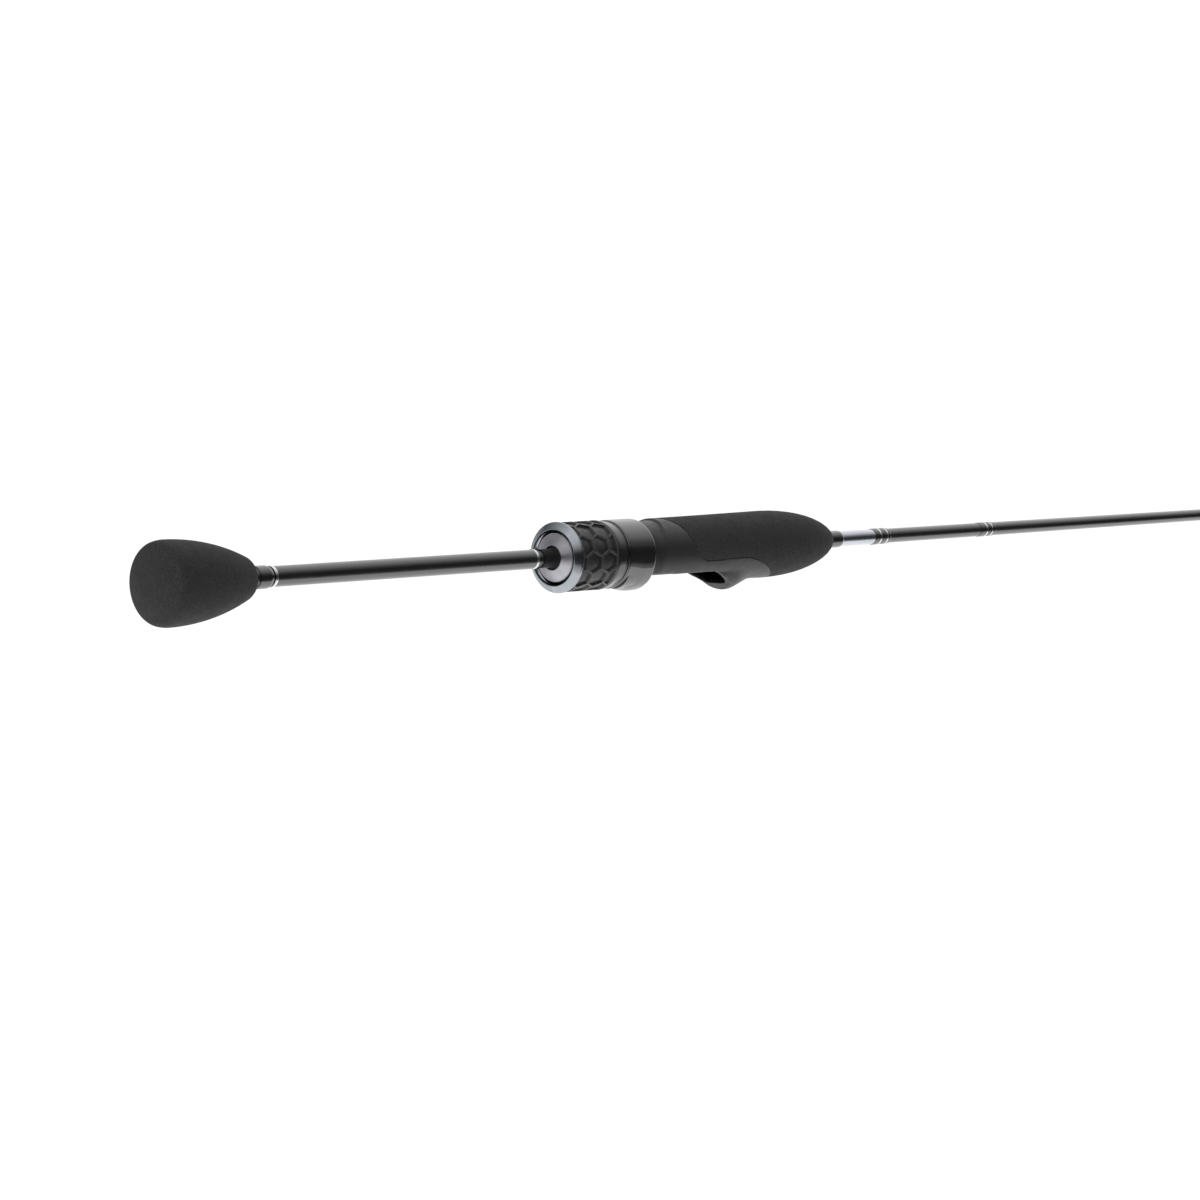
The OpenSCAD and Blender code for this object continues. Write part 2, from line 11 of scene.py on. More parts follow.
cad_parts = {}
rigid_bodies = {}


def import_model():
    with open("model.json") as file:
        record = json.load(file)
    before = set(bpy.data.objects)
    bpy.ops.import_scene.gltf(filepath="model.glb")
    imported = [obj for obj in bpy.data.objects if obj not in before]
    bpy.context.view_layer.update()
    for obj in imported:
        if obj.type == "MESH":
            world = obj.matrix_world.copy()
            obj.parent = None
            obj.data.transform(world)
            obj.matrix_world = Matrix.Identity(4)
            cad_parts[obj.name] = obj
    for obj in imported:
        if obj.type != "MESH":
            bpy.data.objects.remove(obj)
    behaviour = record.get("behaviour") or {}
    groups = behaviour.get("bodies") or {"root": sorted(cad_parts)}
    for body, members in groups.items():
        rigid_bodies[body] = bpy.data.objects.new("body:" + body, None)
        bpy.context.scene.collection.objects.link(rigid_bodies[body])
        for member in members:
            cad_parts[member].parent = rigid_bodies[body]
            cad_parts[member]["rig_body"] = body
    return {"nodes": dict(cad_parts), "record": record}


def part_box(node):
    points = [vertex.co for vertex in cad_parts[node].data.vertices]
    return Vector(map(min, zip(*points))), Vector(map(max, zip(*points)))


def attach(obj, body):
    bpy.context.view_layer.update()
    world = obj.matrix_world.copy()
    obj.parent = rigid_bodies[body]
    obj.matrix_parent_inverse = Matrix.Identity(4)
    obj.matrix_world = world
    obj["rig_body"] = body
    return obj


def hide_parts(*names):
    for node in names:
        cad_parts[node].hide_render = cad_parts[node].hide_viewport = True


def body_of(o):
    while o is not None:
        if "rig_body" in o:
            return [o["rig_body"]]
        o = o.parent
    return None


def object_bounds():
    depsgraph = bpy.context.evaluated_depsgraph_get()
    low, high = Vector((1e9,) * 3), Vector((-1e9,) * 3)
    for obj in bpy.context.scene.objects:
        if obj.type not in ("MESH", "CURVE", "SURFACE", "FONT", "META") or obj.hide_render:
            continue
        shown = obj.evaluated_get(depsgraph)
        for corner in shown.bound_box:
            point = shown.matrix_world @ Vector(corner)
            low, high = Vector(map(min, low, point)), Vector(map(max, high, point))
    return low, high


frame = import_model()
NODES = frame["nodes"]
CAD_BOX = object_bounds()
MM = 0.001
GUIDES = 7
scene = bpy.context.scene
SLOT_OF = {part["node"]: part["material_slot"] for part in frame["record"]["subparts"]}


def span(node):
    """First and last x of a node."""
    lo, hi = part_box(node)
    return lo.x, hi.x


def radius(node):
    """Radius of a round node that lies on the rod's axis."""
    lo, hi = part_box(node)
    return (hi.y - lo.y) / 2


# ---- Camera, light and floor ----

SEAT_X = span("seat_barrel")[0]


def camera():
    """Long lens, low and behind the butt, looking forward along the near side."""
    heading, dip = math.radians(41.731), math.radians(4.201)
    distance = 1.1996
    aim = Vector((SEAT_X + 0.0088, -0.0130, -0.0156))
    level = Vector((math.cos(heading), math.sin(heading), 0))
    forward = level * math.cos(dip) - Vector((0, 0, math.sin(dip)))
    data = bpy.data.cameras.new("camera")
    data.lens, data.sensor_width = 97.35, 36
    data.clip_start, data.clip_end = 0.05, 50
    cam = bpy.data.objects.new("camera", data)
    cam.location = aim - forward * distance
    cam.rotation_euler = forward.to_track_quat("-Z", "Y").to_euler()
    scene.collection.objects.link(cam)
    scene.camera = cam


def studio_world():
    """White studio with a dark near side, by the angle round the rod."""
    # degrees up from the near side; light from forward; light from the butt's end
    tones = [(-180, 0.6, 0.5), (-165, 1.0, 0.7), (-150, 1.15, 1.0), (-120, 1.25, 1.15), (-90, 1.35, 1.3),
             (-60, 1.05, 1.05), (-42, 0.6, 0.7), (-34, 0.36, 0.45), (-27, 0.07, 0.06), (0, 0.04, 0.03),
             (18, 0.06, 0.04), (26, 0.17, 0.2), (38, 0.28, 0.5), (60, 0.75, 0.95), (90, 1.12, 1.15),
             (120, 1.3, 0.6), (152, 1.25, 0.16), (168, 0.75, 0.16), (180, 0.6, 0.45)]
    peak, backdrop, forward = 1.4, 1.05, 0.55
    world = bpy.data.worlds.new("studio")
    world.use_nodes = True
    scene.world = world
    tree = world.node_tree
    tree.nodes.clear()
    split = add(tree, "SeparateXYZ", Vector=add(tree, "TexCoord").outputs["Generated"]).outputs
    angle = calc(tree, "ARCTAN2", split["Z"], calc(tree, "MULTIPLY", split["Y"], -1))
    turn = calc(tree, "ADD", calc(tree, "DIVIDE", angle, math.tau), 0.5)
    lights = []
    for side in (1, 2):
        stops = [((row[0] + 180) / 360, grey(row[side] / peak)) for row in tones]
        tone = ramp(tree, turn, *stops)
        lights.append(add(tree, "Background", Color=tone, Strength=peak).outputs[0])
    share = add(tree, "MapRange", Value=split["X"], From_Min=forward, From_Max=0.0).outputs[0]
    light = mixed(tree, share, *lights)
    white = add(tree, "Background", Color=(1, 1, 1, 1), Strength=backdrop).outputs[0]
    seen = mixed(tree, add(tree, "LightPath").outputs["Is Camera Ray"], light, white)
    tree.links.new(seen, add(tree, "OutputWorld").inputs["Surface"])


def mixed(tree, factor, first, second):
    """The result of a Mix Shader node."""
    made = tree.nodes.new("ShaderNodeMixShader")
    for socket, source in zip(made.inputs, (factor, first, second)):
        tree.links.new(source, socket)
    return made.outputs[0]


def floor():
    """Pale light table under the whole rod."""
    margin, drop, half_width = 0.35, 0.36, 0.42
    lo, hi = CAD_BOX
    bm = bmesh.new()
    corners = [(lo.x - margin, -half_width), (hi.x + margin, -half_width),
               (hi.x + margin, half_width), (lo.x - margin, half_width)]
    bm.faces.new([bm.verts.new((x, y, lo.z - drop)) for x, y in corners])
    obj = mesh_object("floor", bm)
    sheet = Finish("pale_floor", Roughness=0.6, Emission_Color=(1, 1, 1, 1), Emission_Strength=0.65)
    sheet.colour(sheet.noise(40), grey(0.855), grey(0.865))
    obj.data.materials.append(sheet.mat)


# ---- Making meshes: the numbers below are in millimetres, and shell() turns them into metres ----

def bend(p0, p1, p2, steps=10):
    """Points of a quadratic curve from p0 to p2, pulled towards p1."""
    found = []
    for k in range(steps + 1):
        t = k / steps
        found.append(tuple((1 - t) ** 2 * a + 2 * t * (1 - t) * b + t * t * c
                           for a, b, c in zip(p0, p1, p2)))
    return found


def rounded(points, steps=4):
    """Closed outline of (x, radius) points; a third number rounds that corner by so much."""
    edge_share, lead, lead_share = 0.45, 0.4, 0.04
    found = []
    for i, point in enumerate(points):
        here = Vector(point[:2])
        if len(point) < 3:
            found.append(tuple(here))
            continue
        before = Vector(points[i - 1][:2]) - here
        after = Vector(points[(i + 1) % len(points)][:2]) - here
        reach = min(point[2], before.length * edge_share, after.length * edge_share)
        start, end = here + before.normalized() * reach, here + after.normalized() * reach
        # one more point on each side keeps the flats flat when they are shaded smoothly
        found.append(tuple(start + before.normalized() * min(reach * lead, before.length * lead_share)))
        found += bend(start, here, end, steps)
        found.append(tuple(end + after.normalized() * min(reach * lead, after.length * lead_share)))
    return found


def ring_at(x, r, sides):
    """Points round the rod's axis at one station, or one point on the axis."""
    if r < 1e-6:
        return [(x, 0, 0)]
    turns = [math.tau * k / sides for k in range(sides)]
    return [(x, r * math.cos(a), r * math.sin(a)) for a in turns]


def shell(bm, rings, loop=False):
    """Skin over rings of points in mm; a ring of one point closes an end."""
    made = [[bm.verts.new(Vector(p) * MM) for p in ring] for ring in rings]
    for a, b in list(zip(made, made[1:])) + ([(made[-1], made[0])] if loop else []):
        if len(a) == 1 and len(b) == 1:
            continue
        n = max(len(a), len(b))
        for i in range(n):
            corners = (a[i % len(a)], a[(i + 1) % n % len(a)], b[(i + 1) % n % len(b)], b[i % len(b)])
            bm.faces.new(list(dict.fromkeys(corners)))


def mesh_object(name, bm):
    """A smooth-shaded object from the bmesh."""
    mesh = bpy.data.meshes.new(name)
    bmesh.ops.recalc_face_normals(bm, faces=bm.faces)
    bm.to_mesh(mesh)
    bm.free()
    mesh.polygons.foreach_set("use_smooth", [True] * len(mesh.polygons))
    obj = bpy.data.objects.new(name, mesh)
    scene.collection.objects.link(obj)
    return obj


def stand_in(obj, *nodes):
    """Puts a finer piece in the place of CAD nodes, on their body and with their finish."""
    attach(obj, body_of(NODES[nodes[0]])[0])
    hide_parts(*nodes)
    obj.data.materials.append(FINISHES[SLOT_OF[nodes[0]]])
    return obj


def turned(node, outline, sides=144):
    """Stands for a node with a body of revolution; an outline that starts on the axis is solid."""
    bm = bmesh.new()
    solid = outline[0][1] < 1e-6
    shell(bm, [ring_at(x, r, sides) for x, r in outline], loop=not solid)
    return stand_in(mesh_object(node + "_turned", bm), node)


def softened(node, name, voxel, rounds):
    """A copy of a CAD node's solid with its edges eased, as a mould or a sander leaves them."""
    obj = bpy.data.objects.new(name, NODES[node].data.copy())
    scene.collection.objects.link(obj)
    remesh = obj.modifiers.new("remesh", "REMESH")
    remesh.mode, remesh.voxel_size, remesh.use_smooth_shade = "VOXEL", voxel * MM, True
    ease = obj.modifiers.new("ease", "SMOOTH")
    ease.factor, ease.iterations = 0.5, rounds
    graph = bpy.context.evaluated_depsgraph_get()
    mesh = bpy.data.meshes.new_from_object(obj.evaluated_get(graph), depsgraph=graph)
    obj.modifiers.clear()
    obj.data = mesh
    mesh.name = name
    mesh.materials.clear()
    return obj


def faired(obj):
    """Blends the fixed hood's bulb and the step behind the slideway into the seat, clear of the foam."""
    points = np.empty(len(obj.data.vertices) * 3)
    obj.data.vertices.foreach_get("co", points)
    x, _, z = points.reshape(-1, 3).T / MM
    bulb_start, bulb_end, bulb_low, foam_dips = 284, 320, -15.5, 296
    step_start, step_end, step_top, levels, rounds = 238.5, 253.5, 7.5, 8, 160

    def fade(depth, over):
        return np.clip(depth / over, 0, 1)

    parting = -4.9 - 0.035 * np.clip(x - foam_dips, 0, None) ** 2
    bulb = fade(x - bulb_start, 3) * fade(bulb_end - x, 3)
    bulb *= fade(z - bulb_low, 2) * fade(parting - z, 1.5)
    step = fade(x - step_start, 2) * fade(step_end - x, 3) * fade(step_top - z, 3)
    share = np.maximum(bulb, step)
    group = obj.vertex_groups.new(name="faired")
    for level in range(1, levels + 1):
        chosen = np.flatnonzero(np.round(share * levels) == level)
        group.add(chosen.tolist(), level / levels, "REPLACE")
    ease = obj.modifiers.new("ease", "SMOOTH")
    ease.factor, ease.iterations, ease.vertex_group = 0.5, rounds, group.name
    graph = bpy.context.evaluated_depsgraph_get()
    mesh = bpy.data.meshes.new_from_object(obj.evaluated_get(graph), depsgraph=graph)
    obj.modifiers.clear()
    obj.vertex_groups.clear()
    obj.data = mesh


def pitted(obj, depth, grain):
    """Moves a foam surface in and out a little, by a noise of cells about grain mm across."""
    points = np.empty(len(obj.data.vertices) * 3)
    normals = np.empty(len(points))
    obj.data.vertices.foreach_get("co", points)
    obj.data.vertices.foreach_get("normal", normals)
    points, normals = points.reshape(-1, 3), normals.reshape(-1, 3)
    moves = np.array([noise.noise(Vector(p) / (grain * MM)) for p in points])
    points -= normals * (moves.clip(0, 1)[:, None] * depth * MM)
    obj.data.vertices.foreach_set("co", points.ravel())
    obj.data.update()


# ---- Finishes ----

def add(tree, kind, **settings):
    """Adds a shader node; settings named after a socket set it or link to it."""
    made = tree.nodes.new("ShaderNode" + kind)
    for key, value in settings.items():
        socket = made.inputs.get(key.replace("_", " "))
        if socket is None:
            setattr(made, key, value)
        elif isinstance(value, bpy.types.NodeSocket):
            tree.links.new(value, socket)
        else:
            socket.default_value = value
    return made


def calc(tree, operation, *values):
    """The result of a Math node."""
    made = add(tree, "Math", operation=operation)
    for socket, value in zip(made.inputs, values):
        if isinstance(value, bpy.types.NodeSocket):
            tree.links.new(value, socket)
        else:
            socket.default_value = value
    return made.outputs[0]


def ramp(tree, factor, *stops):
    """A colour ramp of (position, colour) stops."""
    made = add(tree, "ValToRGB", Fac=factor)
    slots = made.color_ramp.elements
    while len(slots) < len(stops):
        slots.new(0.5)
    for slot, (position, colour) in zip(slots, stops):
        slot.position = position
        slot.color = (*colour, 1)
    return made.outputs[0]


class Finish:
    """A material built up in steps; scales are in cells per metre."""

    def __init__(self, name, metallic=0.0, **sockets):
        self.mat = bpy.data.materials.new(name)
        self.mat.use_nodes = True
        self.tree = self.mat.node_tree
        self.shader = self.tree.nodes["Principled BSDF"]
        self.shader.inputs["Metallic"].default_value = metallic
        for key, value in sockets.items():
            self.shader.inputs[key.replace("_", " ")].default_value = value
        self.place = add(self.tree, "TexCoord").outputs["Object"]
        self.normal = None

    def noise(self, scale, detail=3.0, stretch=(1, 1, 1)):
        place = add(self.tree, "Mapping", Vector=self.place, Scale=stretch).outputs[0]
        return add(self.tree, "TexNoise", Vector=place, Scale=scale, Detail=detail).outputs["Fac"]

    def pores(self, scale):
        return add(self.tree, "TexVoronoi", Vector=self.place, Scale=scale).outputs["Distance"]

    def waves(self, pitch_mm, along=True):
        """Ridges along x, or rings round the x axis, at a pitch in mm."""
        axes = add(self.tree, "SeparateXYZ", Vector=self.place).outputs
        way = axes["X"]
        if not along:
            squares = calc(self.tree, "ADD", calc(self.tree, "MULTIPLY", axes["Y"], axes["Y"]),
                           calc(self.tree, "MULTIPLY", axes["Z"], axes["Z"]))
            way = calc(self.tree, "SQRT", squares)
        return calc(self.tree, "SINE", calc(self.tree, "MULTIPLY", way, math.tau / (pitch_mm * MM)))

    def colour(self, factor, dark, light, low=0.3, high=0.7):
        self.tree.links.new(ramp(self.tree, factor, (low, dark), (high, light)),
                            self.shader.inputs["Base Color"])
        return self

    def rough(self, factor, low, high):
        spread = add(self.tree, "MapRange", Value=factor, From_Min=0.3, From_Max=0.7,
                     To_Min=low, To_Max=high).outputs[0]
        self.tree.links.new(spread, self.shader.inputs["Roughness"])
        return self

    def bump(self, height, strength, distance_mm):
        bump = add(self.tree, "Bump", Height=height, Strength=strength, Distance=distance_mm * MM)
        if self.normal is not None:
            self.tree.links.new(self.normal, bump.inputs["Normal"])
        self.normal = bump.outputs[0]
        self.tree.links.new(self.normal, self.shader.inputs["Normal"])
        return self

    def edge_highlight_paint(self, base, edge, amount=1.0):
        """Painted highlight: lightens the colour of sharp outer edges a little, in patches, where light
        glints along them.
        """
        flat, gain = 0.505, 18
        sharp = add(self.tree, "NewGeometry").outputs["Pointiness"]
        painted_glint = calc(self.tree, "MULTIPLY", calc(self.tree, "SUBTRACT", sharp, flat), gain * amount)
        patchy = calc(self.tree, "MULTIPLY", painted_glint, self.noise(700))
        self.tree.links.new(ramp(self.tree, patchy, (0.0, base), (1.0, edge)),
                            self.shader.inputs["Base Color"])
        return self


def grey(value, warm=0.0):
    """A near-neutral colour; warm is negative for a cool one."""
    return (value * (1 + warm), value, value * (1 - warm))


def make_finishes():
    """One finish for each material slot, and a matte one for the seat's tail bush."""
    made = {}

    def finish(name, **sockets):
        made[name] = Finish(name, **sockets)
        return made[name]

    f = finish("eva_foam", Specular_IOR_Level=0.3)
    f.colour(f.noise(1400, 4), grey(0.035, 0.015), grey(0.055, 0.015), 0.35, 0.68)
    f.rough(f.noise(300), 0.8, 0.95).bump(f.pores(2600), 0.35, 0.06).bump(f.noise(900), 0.25, 0.08)

    f = finish("gloss_black", IOR=2.0)
    f.colour(f.noise(90), grey(0.009), grey(0.013)).rough(f.noise(140), 0.045, 0.085)
    f.bump(f.noise(320, 1), 0.03, 0.05)

    f = finish("satin_blank", IOR=2.0)
    f.colour(f.noise(60), grey(0.010), grey(0.015)).rough(f.noise(160), 0.17, 0.24)
    f.bump(f.noise(2600, 2, (0.12, 1, 1)), 0.06, 0.02)

    f = finish("seat_plastic", Specular_IOR_Level=0.42)
    # seat plastic: painted highlight, its sharp outer edges lightened in colour
    f.edge_highlight_paint(grey(0.030, -0.01), grey(0.065)).rough(f.noise(420), 0.42, 0.52)
    f.bump(f.noise(3000, 2), 0.12, 0.03)

    f = finish("grip_rubber")
    # grip rubber: painted highlight, the sharp edges of the hexagon lands lightened in colour
    f.edge_highlight_paint(grey(0.030), grey(0.12)).rough(f.noise(900), 0.34, 0.5)
    f.bump(f.noise(3200, 2), 0.22, 0.04)

    f = finish("turned_aluminium", metallic=1.0, Anisotropic=0.85,
               Anisotropic_Rotation=0.25, Roughness=0.34)
    f.colour(f.noise(240, 3), (0.44, 0.43, 0.465), (0.54, 0.53, 0.565))
    f.bump(f.waves(0.42, along=False), 0.12, 0.01).bump(f.noise(500), 0.05, 0.01)
    circles = add(f.tree, "Tangent", direction_type="RADIAL", axis="X").outputs[0]
    f.tree.links.new(circles, f.shader.inputs["Tangent"])

    f = finish("blue_aluminium", metallic=1.0)
    f.colour(f.noise(200), (0.31, 0.335, 0.36), (0.37, 0.40, 0.43))
    f.rough(f.noise(300, 3), 0.1, 0.16).bump(f.waves(0.16), 0.03, 0.004)

    f = finish("gunmetal", metallic=0.6, IOR=1.9)
    f.colour(f.noise(200), grey(0.045, -0.02), grey(0.06, -0.02)).rough(f.noise(260), 0.05, 0.09)
    f.bump(f.noise(350, 1), 0.02, 0.02)

    f = finish("silver_trim", metallic=1.0)
    f.colour(f.noise(500), grey(0.62, -0.02), grey(0.72, -0.02)).rough(f.noise(700), 0.1, 0.18)
    f.bump(f.noise(900), 0.04, 0.01)

    f = finish("foil", metallic=1.0)
    f.colour(f.noise(300, 3, (0.1, 1, 1)), (0.46, 0.48, 0.53), (0.53, 0.55, 0.60))
    f.rough(f.noise(420), 0.17, 0.25).bump(f.noise(2400, 2, (0.05, 1, 1)), 0.05, 0.01)

    f = finish("thread_wrap", IOR=2.0)
    f.colour(f.waves(0.2), grey(0.008), grey(0.018), 0.0, 1.0).rough(f.noise(200), 0.08, 0.12)
    f.bump(f.waves(0.2), 0.06, 0.01).bump(f.noise(400, 1), 0.08, 0.04)

    f = finish("arbor_foam")
    f.colour(f.noise(500, 4), (0.58, 0.50, 0.36), (0.76, 0.68, 0.52))
    f.rough(f.noise(200), 0.85, 0.95).bump(f.pores(1600), 0.5, 0.15)

    f = finish("guide_metal", metallic=1.0)
    f.colour(f.noise(400), grey(0.30, -0.02), grey(0.38, -0.02)).rough(f.noise(500), 0.14, 0.24)
    f.bump(f.noise(1500), 0.05, 0.01)

    f = finish("ceramic", IOR=2.1)
    f.colour(f.noise(600), grey(0.045, -0.04), grey(0.06, -0.04)).rough(f.noise(300), 0.04, 0.08)
    f.bump(f.noise(900, 1), 0.02, 0.01)

    f = finish("bush_rubber", Specular_IOR_Level=0.35)
    f.colour(f.noise(700), grey(0.010), grey(0.016)).rough(f.noise(900), 0.45, 0.6)
    f.bump(f.noise(2400), 0.15, 0.03)
    return {name: f.mat for name, f in made.items()}


# ---- Butt grip ----

def butt_grip():
    """Foam knob, its collar, the sleeve along the handle and the two narrow rings."""
    knob_r, length, socket, blank_r, flat_r, flat_steps = 14.5, 43.6, 14, 3.2, 4, 12
    belly_x, belly, nose, nose_x, nose_turn = 7.2, 86, 5, length - 3.1, math.radians(82)
    tilt = math.asin((nose_x - belly_x) / belly)
    outline = [(0, flat_r * k / flat_steps) for k in range(flat_steps)]
    outline += bend((0, flat_r), (0.6, 7.7), (2.9, 12.6), 26)
    outline += bend((2.9, 12.6), (3.55, 13.97), (5.2, 14.25), 12)[1:]
    outline += bend((5.2, 14.25), (6.6, knob_r), (belly_x, knob_r), 8)[1:]
    side = [tilt * k / 80 for k in range(1, 81)]
    outline += [(belly_x + belly * math.sin(a), knob_r - belly + belly * math.cos(a)) for a in side]
    end = [tilt + (nose_turn - tilt) * k / 22 for k in range(1, 23)]
    outline += [(nose_x + nose * (math.sin(a) - math.sin(tilt)),
                 knob_r - belly + (belly - nose) * math.cos(tilt) + nose * math.cos(a)) for a in end]
    outline += [(length, blank_r + 0.02), (socket, blank_r + 0.02), (socket, 0)]
    bm = bmesh.new()
    shell(bm, [ring_at(x, r, 232) for x, r in outline])
    knob = stand_in(mesh_object("butt_knob_foam", bm), "butt_knob")
    pitted(knob, 0.05, 0.7)

    back, end_x, collar_r = length + 0.05, span("butt_collar")[1] / MM, 4.0
    groove = back + 1.6
    turned("butt_collar", rounded([
        (back, blank_r), (back, collar_r - 0.2, 0.15), (groove, collar_r - 0.2, 0.12),
        (groove + 0.2, collar_r - 0.4, 0.1), (groove + 0.7, collar_r - 0.4, 0.1),
        (groove + 0.9, collar_r, 0.12), (end_x - 1.9, collar_r, 1.3),
        (end_x - 0.5, collar_r - 0.5, 0.7), (end_x, collar_r - 1.0, 0.1), (end_x, blank_r)]))
    for node in ("butt_trim_ring", "seat_trim_ring"):
        hoop(node, blank_r, 0.16)
    lo, hi = (edge / MM for edge in span("handle_sleeve"))
    r = radius("handle_sleeve") / MM
    turned("handle_sleeve", rounded([(lo, blank_r), (lo, r, 0.12), (hi, r, 0.12), (hi, blank_r)]))


def hoop(node, bore, ease):
    """A plain ring on the blank, with its outer edges eased."""
    lo, hi = (edge / MM for edge in span(node))
    r = radius(node) / MM
    return turned(node, rounded([(lo, bore), (lo, r, ease), (hi, r, ease), (hi, bore)]))


# ---- Reel seat ----

THREAD_R = radius("seat_barrel") / MM
SHOULDER = span("seat_body")[0] / MM
LEAD = 2.5


def barrel():
    """Threaded barrel with its keyway on top, and the turned disc and bush at its end."""
    start, end = (edge / MM for edge in span("seat_barrel"))
    bore, inner_r, key_half, key_z, root = 6, 7.6, 1.5, 7.6, THREAD_R - 0.7
    notch = math.asin(key_half / THREAD_R)
    turns = [math.tau * k / 120 for k in range(120)]
    keyway = [math.pi / 2 + notch * s * side for side in (-1, 1) for s in (0.35, 0.7, 0.99, 1.01)]
    turns = sorted([a for a in turns if abs(a - math.pi / 2) > notch + 0.01] + keyway + [math.pi / 2])

    def ring(x, r, keyed=True):
        found = []
        for a in turns:
            y, z = r * math.cos(a), r * math.sin(a)
            if keyed and abs(a - math.pi / 2) < notch:
                z = min(z, key_z)
            found.append((x, y, z))
        return found

    def thread_ring(x):
        steep, floor_share, fade, relief = 5, 0.6, 0.8, 1.4
        found = []
        for a in turns:
            phase = (x / LEAD + a / math.tau) % 1
            rise = min(max(abs(phase - 0.5) * steep - floor_share, 0), 1)
            cut = min((x - start) / fade, (SHOULDER - relief - x) / fade, 1)
            r = THREAD_R - (THREAD_R - root) * (1 - rise) * max(cut, 0)
            keyed = abs(a - math.pi / 2) < notch
            y, z = r * math.cos(a), r * math.sin(a)
            found.append((x, y, min(z, key_z)) if keyed else (x, y, z))
        return found

    steps = int((SHOULDER - start) / 0.12)
    rings = [ring(start, bore, False), ring(start, THREAD_R - 0.25)]
    rings += [thread_ring(start + 0.25 + (SHOULDER - start - 0.3) * k / steps) for k in range(steps + 1)]
    rings += [ring(SHOULDER, inner_r + 0.01), ring(end, inner_r), ring(end, bore, False)]
    bm = bmesh.new()
    shell(bm, rings, loop=True)
    stand_in(mesh_object("seat_barrel_threaded", bm), "seat_barrel")

    back, front = (edge / MM for edge in span("barrel_end_cone"))
    rim, hole, rim_x = radius("barrel_end_cone") / MM, 4.4, front - 1.55
    face, cuts = [], 11
    for k in range(cuts):
        # a few deeper tool marks in the cone's face
        t = (k + 0.5) / cuts
        x, r = back + (rim_x - 0.3 - back) * t, hole + 0.3 + (rim - hole - 0.6) * t
        face += [(x - 0.004, r - 0.12), (x + 0.012, r), (x + 0.008, r + 0.12)]
    turned("barrel_end_cone", rounded([(back + 0.3, hole, 0.1), (back, hole + 0.3, 0.15)])
           + face + rounded([(rim_x - 0.3, rim - 0.3, 0.15), (rim_x, rim, 0.15)])
           + [(front, rim), (front, hole)], 200)
    lo, hi = (edge / MM for edge in span("tail_bush"))
    r = radius("tail_bush") / MM
    turned("tail_bush", rounded([(lo, 3.2), (lo, r, 0.25)])
           + bend((back - 0.9, r), (back + 0.1, r + 0.05), (back + 0.6, hole - 0.12), 6)
           + [(hi, hole - 0.12), (hi, 3.2)]).data.materials[0] = FINISHES["bush_rubber"]


def lock_nut():
    """Bevelled end ring, sleeve with hexagon pockets and front ring."""
    back, sleeve_x = (edge / MM for edge in span("nut_end_ring"))
    ring_r, nut_r, lip_r, bore, ledge = radius("nut_end_ring") / MM, 13.0, 10.73, 9.7, 1.7
    turned("nut_end_ring", rounded([
        (back, lip_r - 0.3, 0.1), (back, lip_r, 0.15), (sleeve_x - 0.6, ring_r, 0.3),
        (sleeve_x, ring_r, 0.08), (sleeve_x, bore), (back + ledge, bore),
        (back + ledge, lip_r - 0.3)]), 200)

    front = span("nut_grip_sleeve")[1] / MM
    pitch, flat, hex_x, rows, turn, squeeze, depth = 8.5, 7.5, 203.9, 12, -8, 0.93, 0.88
    lead_in, run_out, wall, wall_r = 0.7, 0.6, 0.17, 12.0
    sides, steps = 760, 170
    centres = []
    for row in range(rows):
        angle = math.pi + math.radians(-turn - row * 360 / rows)
        centres += [(hex_x + pitch * (k + (row % 2) / 2), angle) for k in range(-1, 3)]
    xs = np.array([sleeve_x + 0.05 + (front - sleeve_x - 0.1) * k / steps for k in range(steps + 1)])
    turns = np.arange(sides) * math.tau / sides
    grid_x, grid_a = np.meshgrid(xs, turns, indexing="ij")
    near = np.full(grid_x.shape, 99.0)
    for x, angle in centres:
        u = grid_x - x
        swing = (grid_a - angle + math.pi) % math.tau - math.pi
        v = np.where(np.abs(swing) < 0.9, nut_r * np.sin(swing), 99) / squeeze
        reach = np.maximum(np.abs(u), np.abs(u) / 2 + np.abs(v) * math.sqrt(3) / 2)
        near = np.minimum(near, reach - flat / 2)
    near = np.maximum(near, np.maximum(sleeve_x + lead_in - grid_x, grid_x - front + run_out))
    fall = np.clip(-near / wall + 0.3, 0, 1)
    fall = fall * fall * (3 - 2 * fall)
    # pocket floors rise a little towards their middle
    crowned, crown_height = 3.4, 0.12
    crown = np.clip(-near / crowned, 0, 1) ** 1.5 * crown_height
    r = nut_r - fall * (depth - crown)
    rings = [ring_at(sleeve_x, wall_r, sides), ring_at(sleeve_x, nut_r - 0.06, sides)]
    rings += [[(x, q * math.cos(a), q * math.sin(a)) for q, a in zip(line, turns)]
              for x, line in zip(xs, r.tolist())]
    rings += [ring_at(front, nut_r - 0.06, sides), ring_at(front, wall_r, sides)]
    bm = bmesh.new()
    shell(bm, rings, loop=True)
    stand_in(mesh_object("nut_grip_sleeve_hexagons", bm), "nut_grip_sleeve")

    ring_x, end = (edge / MM for edge in span("nut_front_ring"))
    r, skirt, lip, core_end, core_r = radius("nut_front_ring") / MM, 10.3, 11.1, 218.0, 12.0
    dip, skirt_x = 0.55, 220.2
    turned("nut_front_ring", rounded([
        (ring_x, core_r), (ring_x, r - 0.3, 0.1), (ring_x + 0.3, r, 0.15), (ring_x + 0.9, r, 0.3),
        (end - 1.1, r - dip, 0.1), (end - 0.95, r - dip + 0.1, 0.06), (end - 0.3, r - dip + 0.1, 0.15),
        (end, r - dip - 0.3, 0.1), (end, skirt, 0.1), (skirt_x, skirt),
        (skirt_x, lip), (core_end, lip), (core_end, core_r)]), 200)


